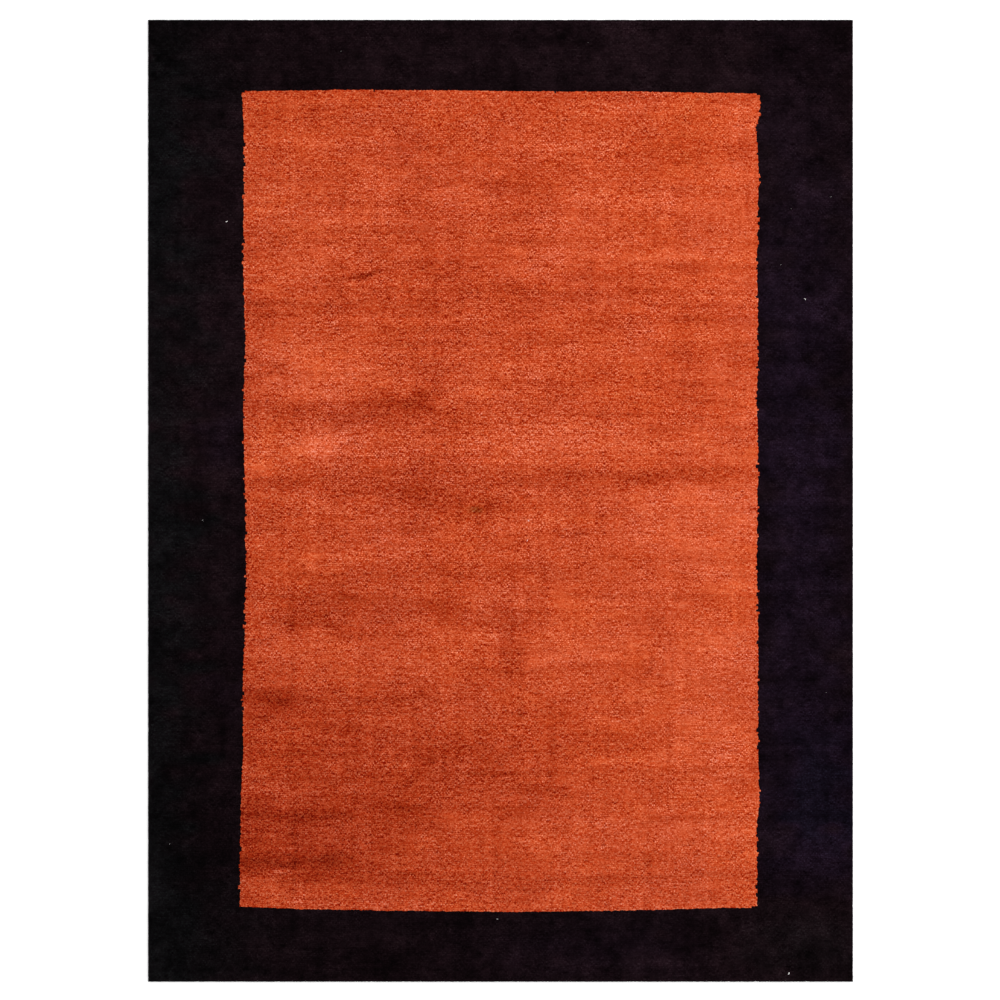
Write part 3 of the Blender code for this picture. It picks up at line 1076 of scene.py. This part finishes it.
def wool(yarn):
    """Cut wool pile in one yarn."""
    recipe = Recipe(yarn.name)
    place = recipe.node("ShaderNodeTexCoord", {}, {}, "Object")
    fibre = recipe.noise(place, FIBRE_SCALE, FIBRE_DETAIL)
    lock = recipe.noise(recipe.product(place, LOCK_SCALES), 1.0, 0.0)
    # Painted shade by the tip, with noise for the fibres and the locks
    grain_and_painted_shade = (
        (recipe.stored("tip") - USUAL_NEARNESS) * TIP_PAINTED_SHADE
        + (fibre - MIDDLE) * FIBRE_TONE
        + (lock - MIDDLE) * LOCK_TONE
    )
    grain_and_painted_shade = grain_and_painted_shade * recipe.stored("looseness") * yarn.contrast
    fleck_and_painted_shade = recipe.ramp(yarn.flecks, MIDDLE + grain_and_painted_shade)
    # The knot's dye, with the painted light and shade that it carries
    dyed_and_painted_light = recipe.ramp(yarn.dyes, MIDDLE + recipe.stored("dye") * DYE_AND_PAINTED_LIGHT_TONE)
    leaning = recipe.ramp(yarn.casts, MIDDLE + recipe.stored("cast") * CAST_TONE)
    return recipe.finish(
        {
            "Base Color": recipe.product(recipe.product(fleck_and_painted_shade, dyed_and_painted_light), leaning),
            "Roughness": WOOL_ROUGHNESS - fibre * FIBRE_SMOOTHNESS,
            "Normal": recipe.relief(fibre + lock, FIBRE_RELIEF_STRENGTH, FIBRE_RELIEF),
            "Specular IOR Level": yarn.gloss,
            "Sheen Weight": yarn.sheen,
            "Sheen Roughness": SHEEN_ROUGHNESS,
            "Sheen Tint": yarn.sheen_tint,
        }
    )


rust_wool = wool(RUST)
near_black_wool = wool(BLACK)

# %% [markdown]
# ## Laying the pile
#
# A piece with too many faces is slow to handle, so the field is cut into four long strips along the
# warps, and the border into its head, its foot and two sides. Long strips keep the maps of all the
# pieces about equally fine. The blocks overlap by a few knots where the colours meet, because a
# miscounted row may put a rust knot beyond its line.

# %% Field and border
SPARE = 3
FIELD_STRIPS = 4
field_cuts = np.linspace(FIELD_LEFT, FIELD_RIGHT, FIELD_STRIPS + 1).astype(int).tolist()
field_cuts[0] -= SPARE
field_cuts[-1] += SPARE
field_rows = (FIELD_FOOT - SPARE, FIELD_HEAD + SPARE)
pile_pieces = [
    pile(f"field_pile_{number}", cuts, field_rows, True, rust_wool)
    for number, cuts in enumerate(zip(field_cuts, field_cuts[1:]), start=1)
]
border_blocks = {
    "border_pile_foot": ((0, COLUMNS), (0, FIELD_FOOT + SPARE)),
    "border_pile_head": ((0, COLUMNS), (FIELD_HEAD - SPARE, ROWS)),
    "border_pile_left": ((0, FIELD_LEFT + SPARE), (FIELD_FOOT + SPARE, FIELD_HEAD - SPARE)),
    "border_pile_right": ((FIELD_RIGHT - SPARE, COLUMNS), (FIELD_FOOT + SPARE, FIELD_HEAD - SPARE)),
}
pile_pieces += [
    pile(name, columns, rows, False, near_black_wool)
    for name, (columns, rows) in border_blocks.items()
]

# %% [markdown]
# ## The foundation and its back
#
# Under the pile lies the woven sheet itself. On its back every knot shows as two small nodes side
# by side, in rows, with the weft in the grooves between the rows. The colours are those of the
# pile, because the yarn goes round the warps. The sheet is a flat box with rounded edges. It is cut
# into a coarse net and drawn out of true like the pile above it. Each of its points keeps its
# place in knot units, and the material builds the nodes from that.

# %% Foundation sheet
FOUNDATION_HEIGHT = 0.0034
FOUNDATION_INSET = 0.0012
FOUNDATION_ROUND = 0.0012
FOUNDATION_STEPS = 3
CORNER_ROUND = 0.0050
CORNER_STEPS = 5
NET_COLUMNS = 28
NET_ROWS = 38
SHARP_ANGLE = math.radians(40)

# Points closer than this count as one place
SAME_PLACE = 1e-6


def round_edges(bm, edges, radius, steps):
    """Rounds a set of edges to one radius."""
    bmesh.ops.bevel(
        bm,
        geom=edges,
        offset=radius,
        offset_type="OFFSET",
        segments=steps,
        profile=0.5,
        affect="EDGES",
        clamp_overlap=True,
        material=-1,
    )


def upright(edge):
    """True for an edge that runs straight up."""
    return (edge.verts[0].co.xy - edge.verts[1].co.xy).length < SAME_PLACE


def cut_across(bm, point, normal):
    """Cuts the whole sheet along one upright plane."""
    everything = bm.verts[:] + bm.edges[:] + bm.faces[:]
    bmesh.ops.bisect_plane(bm, geom=everything, dist=SAME_PLACE, plane_co=point, plane_no=normal)


def foundation_sheet():
    """The woven sheet as a closed, thin, flat box with rounded edges."""
    bm = bmesh.new()
    bmesh.ops.create_cube(bm, size=1.0)
    size = (WIDTH - 2 * FOUNDATION_INSET, LENGTH - 2 * FOUNDATION_INSET, FOUNDATION_HEIGHT)
    bmesh.ops.scale(bm, vec=size, verts=bm.verts[:])
    bmesh.ops.translate(bm, vec=(0, 0, FOUNDATION_HEIGHT / 2), verts=bm.verts[:])
    corners = [edge for edge in bm.edges if upright(edge)]
    round_edges(bm, corners, CORNER_ROUND, CORNER_STEPS)
    rims = [edge for edge in bm.edges if not upright(edge)]
    round_edges(bm, rims, FOUNDATION_ROUND, FOUNDATION_STEPS)
    for step in range(1, NET_COLUMNS):
        cut_across(bm, (WIDTH * (step / NET_COLUMNS - 0.5), 0, 0), (1, 0, 0))
    for step in range(1, NET_ROWS):
        cut_across(bm, (0, LENGTH * (step / NET_ROWS - 0.5), 0), (0, 1, 0))
    mesh = mesh_from(bm, "foundation")

    x, y, z = places_of(mesh)
    in_knots = np.stack([(x + WIDTH / 2) / COLUMN_PITCH, (y + LENGTH / 2) / ROW_PITCH, z], axis=1)
    layer = mesh.attributes.new("place", "FLOAT_VECTOR", "POINT")
    layer.data.foreach_set("vector", in_knots.astype(np.float32).ravel())
    x, y = drawn_out(x, y)
    put_at(mesh, x, y, z)
    mesh.set_sharp_from_angle(angle=SHARP_ANGLE)
    return object_with(mesh)


foundation = foundation_sheet()
print(f"foundation: {len(foundation.data.polygons)} faces")

# %% [markdown]
# The nodes of the back are too many and too flat to be worth modelling, so the material draws them:
# their colours, painted shade towards the edge of each node, the dark weft between the rows and a
# low relief. A few rows are a knot off, as on the pile.

# %% Knotted back
NODES_A_KNOT = 2
NODE_FULLNESS = 0.5
# Painted shade: each node is lighter on top and darker where it meets the next
NODE_PAINTED_SHADE = 0.7
CHANCE_TONE = 0.35
WEFT_BELOW = 0.30
WEFT_COLOUR = (0.022, 0.011, 0.008, 1.0)
STRAY_ABOVE = 0.88
BACK_RELIEF = 0.0009
BACK_RELIEF_STRENGTH = 0.8
WANDER = 0.7
WANDER_SCALE = 0.35
WANDER_DETAIL = 2.0
BACK_RUST = (
    (0.0, (0.150, 0.0120, 0.0030)),
    (0.6, (0.380, 0.0420, 0.0120)),
    (1.0, (0.520, 0.0760, 0.0260)),
)
BACK_BLACK = (
    (0.0, (0.0020, 0.0012, 0.0016)),
    (0.6, (0.0060, 0.0035, 0.0048)),
    (1.0, (0.0130, 0.0085, 0.0110)),
)


def knotted_back():
    """The back of the rug: rows of nodes in the colours of the pile, with weft between them."""
    recipe = Recipe("knotted_back")
    place = recipe.stored("place", "Vector")
    wander = recipe.noise(place, WANDER_SCALE, WANDER_DETAIL) * WANDER
    column = recipe.node("ShaderNodeSeparateXYZ", {}, {"Vector": place}, "X") + wander
    row = recipe.node("ShaderNodeSeparateXYZ", {}, {"Vector": place}, "Y") + wander
    knot = recipe.node(
        "ShaderNodeCombineXYZ", {}, {"X": column.whole(), "Y": row.whole(), "Z": 0.0}, "Vector"
    )
    knot_chance = recipe.node("ShaderNodeTexWhiteNoise", {}, {"Vector": knot}, "Value")
    row_chance = recipe.node(
        "ShaderNodeTexWhiteNoise", {"noise_dimensions": "1D"}, {"W": row.whole()}, "Value"
    )
    stray = row_chance.above(STRAY_ABOVE)
    into_field = (
        (column - (FIELD_LEFT - stray))
        .smaller((FIELD_RIGHT - stray) - column)
        .smaller(row - FIELD_FOOT)
        .smaller(FIELD_HEAD - row)
    )
    across_node = (column * NODES_A_KNOT).hump().power(NODE_FULLNESS)
    node_height = across_node * row.hump().power(NODE_FULLNESS)
    tone = node_height * NODE_PAINTED_SHADE + knot_chance * CHANCE_TONE
    rust = recipe.ramp(BACK_RUST, tone)
    black = recipe.ramp(BACK_BLACK, tone)
    yarn = recipe.mixed(into_field.above(0.0), black, rust)
    return recipe.finish(
        {
            "Base Color": recipe.mixed(row.hump().above(WEFT_BELOW), WEFT_COLOUR, yarn),
            "Roughness": 0.95,
            "Specular IOR Level": 0.1,
            "Normal": recipe.relief(node_height, BACK_RELIEF_STRENGTH, BACK_RELIEF),
        }
    )


foundation.data.materials.append(knotted_back())
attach(foundation, "root")
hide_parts("rug")

# %% [markdown]
# ## Loose fibres
#
# The photo shows a few pale specks, bits of fluff that lie on the tips, most of them on the black
# wool. Each one is a short bent tube in five joints, and all of them are one mesh. They are few and
# small, so a table says where each lies, how long and thick it is in millimetres, and how it is
# turned.

# %% Table of the bits
Bit = namedtuple("Bit", "x y long thick turn")
BITS = (
    Bit(x=0.6955, y=-1.1386, long=5.5, thick=2.6, turn=70),
    Bit(x=-0.6592, y=0.6725, long=5.5, thick=2.0, turn=20),
    Bit(x=0.7341, y=0.4866, long=5.0, thick=1.6, turn=130),
    Bit(x=-0.0072, y=-1.0082, long=4.0, thick=0.9, turn=10),
    Bit(x=-0.7969, y=-0.8271, long=3.5, thick=0.4, turn=95),
    Bit(x=0.7969, y=0.7329, long=4.5, thick=0.3, turn=40),
    Bit(x=0.7848, y=-0.4624, long=4.0, thick=0.3, turn=160),
    Bit(x=-0.3840, y=1.0831, long=3.5, thick=0.3, turn=15),
    Bit(x=-0.7172, y=-0.0471, long=4.0, thick=0.3, turn=80),
    Bit(x=0.7003, y=0.7039, long=3.0, thick=0.3, turn=120),
    Bit(x=0.6761, y=0.5687, long=3.5, thick=0.3, turn=55),
    Bit(x=0.2125, y=1.1048, long=3.0, thick=0.3, turn=0),
    Bit(x=-0.1908, y=0.3369, long=3.5, thick=0.6, turn=30),
    Bit(x=0.0676, y=-0.0471, long=4.5, thick=1.7, turn=140),
    Bit(x=0.0652, y=-0.0954, long=4.0, thick=1.5, turn=75),
)
print(len(BITS), "bits of fluff")

# %% Bits of fluff
BEND = 0.9
BIT_JOINTS = 5
BIT_SIDES = 6
BIT_RADIUS = 0.50
BIT_TAPER = 0.05
BIT_LIFT = 0.2
FLUFF_COLOUR = (0.78, 0.76, 0.75, 1.0)


def add_bit(bm, bit):
    """One bent tube of fluff, lying on the tips of the pile."""
    long = bit.long * MILLIMETRE
    thick = bit.thick * MILLIMETRE
    earlier = len(bm.verts)
    for step in range(BIT_JOINTS):
        bmesh.ops.create_cone(
            bm,
            cap_ends=True,
            segments=BIT_SIDES,
            radius1=thick * (BIT_RADIUS - BIT_TAPER * step),
            radius2=thick * (BIT_RADIUS - BIT_TAPER * (step + 1)),
            depth=long / BIT_JOINTS,
            matrix=Matrix.Translation((0, 0, long * ((step + 0.5) / BIT_JOINTS - 0.5))),
        )
    bm.verts.ensure_lookup_table()
    verts = bm.verts[earlier:]
    laid_down = Matrix.Rotation(math.radians(90), 3, "Y")
    bmesh.ops.rotate(bm, verts=verts, cent=(0, 0, 0), matrix=laid_down)
    for vert in verts:
        vert.co.y += BEND * vert.co.x * vert.co.x / long
    height = PILE_TOP + float(swell_at(bit.x, bit.y)) + thick * BIT_LIFT
    turned = Matrix.Rotation(math.radians(bit.turn), 4, "Z")
    bmesh.ops.transform(bm, matrix=Matrix.Translation((bit.x, bit.y, height)) @ turned, verts=verts)


def pale_fluff():
    """Undyed wool."""
    recipe = Recipe("pale_fluff")
    return recipe.finish({"Base Color": FLUFF_COLOUR, "Roughness": 0.95, "Specular IOR Level": 0.1})


bits = bmesh.new()
for bit in BITS:
    add_bit(bits, bit)
fluff_mesh = mesh_from(bits, "loose_fibres")
fluff_mesh.shade_smooth()
fluff_mesh.materials.append(pale_fluff())
fluff = object_with(fluff_mesh)
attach(fluff, "root")
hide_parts("rug")
print(f"loose_fibres: {len(fluff_mesh.polygons)} faces")

# The foundation, the pile and the fluff all go on one body.
# The rug is laid on the floor, and nothing else holds it.

print(f"One cloth of {len(pile_pieces) + 2} pieces")

# %% [markdown]
# ## Floor, light and camera
#
# The rug was photographed square-on from above on white, in light so soft that it throws no shadow.
# A wide even sky gives most of the light. One large lamp high on the right adds the slight
# direction that makes tufts readable. The camera stands far off with a long lens, so that the
# sides of the rug stay hidden and its edges parallel.

# %% Floor
FLOOR_SIZE = 60.0
FLOOR_COLOUR = (0.92, 0.92, 0.92, 1.0)
FLOOR_GLOW = 0.2
WHITE = (1.0, 1.0, 1.0, 1.0)


def make_floor():
    """A wide pale floor that glows a little, so that it shows as white."""
    bm = bmesh.new()
    bmesh.ops.create_grid(bm, x_segments=1, y_segments=1, size=FLOOR_SIZE / 2)
    mesh = mesh_from(bm, "floor")
    recipe = Recipe("pale_floor")
    material = recipe.finish(
        {
            "Base Color": FLOOR_COLOUR,
            "Roughness": 0.9,
            "Specular IOR Level": 0.1,
            "Emission Color": WHITE,
            "Emission Strength": FLOOR_GLOW,
        }
    )
    mesh.materials.append(material)
    return object_with(mesh)


make_floor()

# %% Light
SKY_STRENGTH = 1.00
LAMP_POWER = 110.0
LAMP_SIZE = 3.0
LAMP_PLACE = (2.6, 1.6, 4.2)

world = bpy.data.worlds.new("studio")
bpy.context.scene.world = world
world.use_nodes = True
background = world.node_tree.nodes["Background"]
background.inputs["Color"].default_value = WHITE
background.inputs["Strength"].default_value = SKY_STRENGTH

lamp_data = bpy.data.lights.new("soft_lamp", "AREA")
lamp_data.energy = LAMP_POWER
lamp_data.size = LAMP_SIZE
lamp = bpy.data.objects.new("soft_lamp", lamp_data)
lamp.location = LAMP_PLACE
lamp.rotation_euler = (-lamp.location).to_track_quat("-Z", "Y").to_euler()
bpy.context.scene.collection.objects.link(lamp)
bpy.context.scene.view_settings.view_transform = "Standard"
print(f"The lamp hangs {lamp.location.z:.1f} m up on the right")

# %% Camera
# The rug's 1.70 m take up about 705 of the picture's 1000 pixels, under a pixel off their middle
RUG_PIXELS = 705.5
OFF_CENTRE = (-0.0012, 0.0019)
PICTURE_PIXELS = 1000
LENS = 100.0
SENSOR = 36.0
picture_width = WIDTH * PICTURE_PIXELS / RUG_PIXELS
camera_data = bpy.data.cameras.new("camera")
camera_data.lens = LENS
camera_data.sensor_width = SENSOR
camera = bpy.data.objects.new("camera", camera_data)
camera.location = (*OFF_CENTRE, PILE_TOP + picture_width * LENS / SENSOR)
bpy.context.scene.collection.objects.link(camera)
bpy.context.scene.camera = camera
print(f"The camera is {camera.location.z:.2f} m up and sees {picture_width:.3f} m")

# %% [markdown]
# ## Size of the dressed rug
#
# The dressed rug is about a millimetre larger than the plain solid it stands for, at the tufts
# along the edge and at the highest tips.
